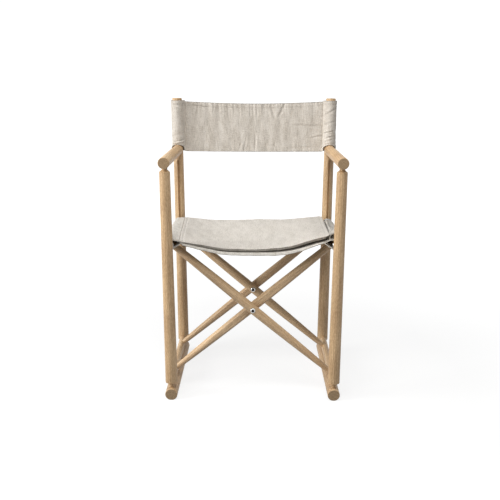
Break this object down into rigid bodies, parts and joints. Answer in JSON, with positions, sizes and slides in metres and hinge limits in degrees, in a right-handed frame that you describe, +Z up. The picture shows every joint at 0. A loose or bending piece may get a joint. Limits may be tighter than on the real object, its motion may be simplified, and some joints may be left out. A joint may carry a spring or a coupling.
{
  "type": "folding chair",
  "caption": "Folding armchair of turned wood: round posts, arms and runners, scissor X-frames with seat rails that slide in post grooves, canvas seat with pad, canvas back.",
  "frame": {"origin": "on the floor under the middle of the chair, at the centre of its footprint", "axes": "+Z up; +Y to the back of the chair; +X across it, to the right as seen from the front"},
  "size_m": [0.5266, 0.4, 0.87],
  "materials": {
    "frame_wood": "fine-sanded oiled hardwood",
    "cross_wood": "fine-sanded oiled hardwood",
    "steel_fittings": "bright turned steel",
    "seat_canvas": "plain-woven linen canvas",
    "back_canvas": "plain-woven linen canvas",
    "pad_fabric": "plain-woven linen over thin padding"
  },
  "bodies": {
    "left_frame": {"front_post_left": "frame_wood", "rear_post_left": "frame_wood", "armrest_left": "frame_wood", "runner_left": "frame_wood", "arm_dowel_left": "frame_wood", "back_sleeve_left": "back_canvas", "back_panel": "back_canvas"},
    "cross_frame_b": {"cross_bar_front_b": "cross_wood", "cross_bar_rear_b": "cross_wood", "seat_rail_right": "cross_wood", "lower_rail_left": "cross_wood", "slide_pins_right": "steel_fittings", "rail_collars_right": "steel_fittings", "pivot_pins_left": "steel_fittings", "seat_sleeve_right": "seat_canvas", "crossing_bolts": "steel_fittings", "crossing_nuts": "steel_fittings", "crossing_washers": "steel_fittings"},
    "cross_frame_a": {"cross_bar_front_a": "cross_wood", "cross_bar_rear_a": "cross_wood", "seat_rail_left": "cross_wood", "lower_rail_right": "cross_wood", "slide_pins_left": "steel_fittings", "rail_collars_left": "steel_fittings", "pivot_pins_right": "steel_fittings", "seat_sleeve_left": "seat_canvas", "seat_panel": "seat_canvas", "seat_pad": "pad_fabric"},
    "right_frame": {"front_post_right": "frame_wood", "rear_post_right": "frame_wood", "armrest_right": "frame_wood", "runner_right": "frame_wood", "arm_dowel_right": "frame_wood", "back_sleeve_right": "back_canvas"}
  },
  "joints": [
    {"name": "fold", "type": "hinge", "parent": "left_frame", "child": "cross_frame_b", "pos_m": [-0.245, 0, 0.056], "axis": [0, -1, 0], "range_deg": [0, 33.5], "deforming": ["back_panel", "seat_panel", "seat_pad"]},
    {"name": "crossing", "type": "hinge", "parent": "cross_frame_b", "child": "cross_frame_a", "pos_m": [0, 0, 0.263], "axis": [0, -1, 0], "range_deg": [-67, 0]},
    {"name": "right_foot", "type": "hinge", "parent": "cross_frame_a", "child": "right_frame", "pos_m": [0.245, 0, 0.056], "axis": [0, -1, 0], "range_deg": [0, 33.5]}
  ],
  "couplings": [
    {"joint": "crossing", "follows": "fold", "ratio": -2},
    {"joint": "right_foot", "follows": "fold", "ratio": 1}
  ]
}
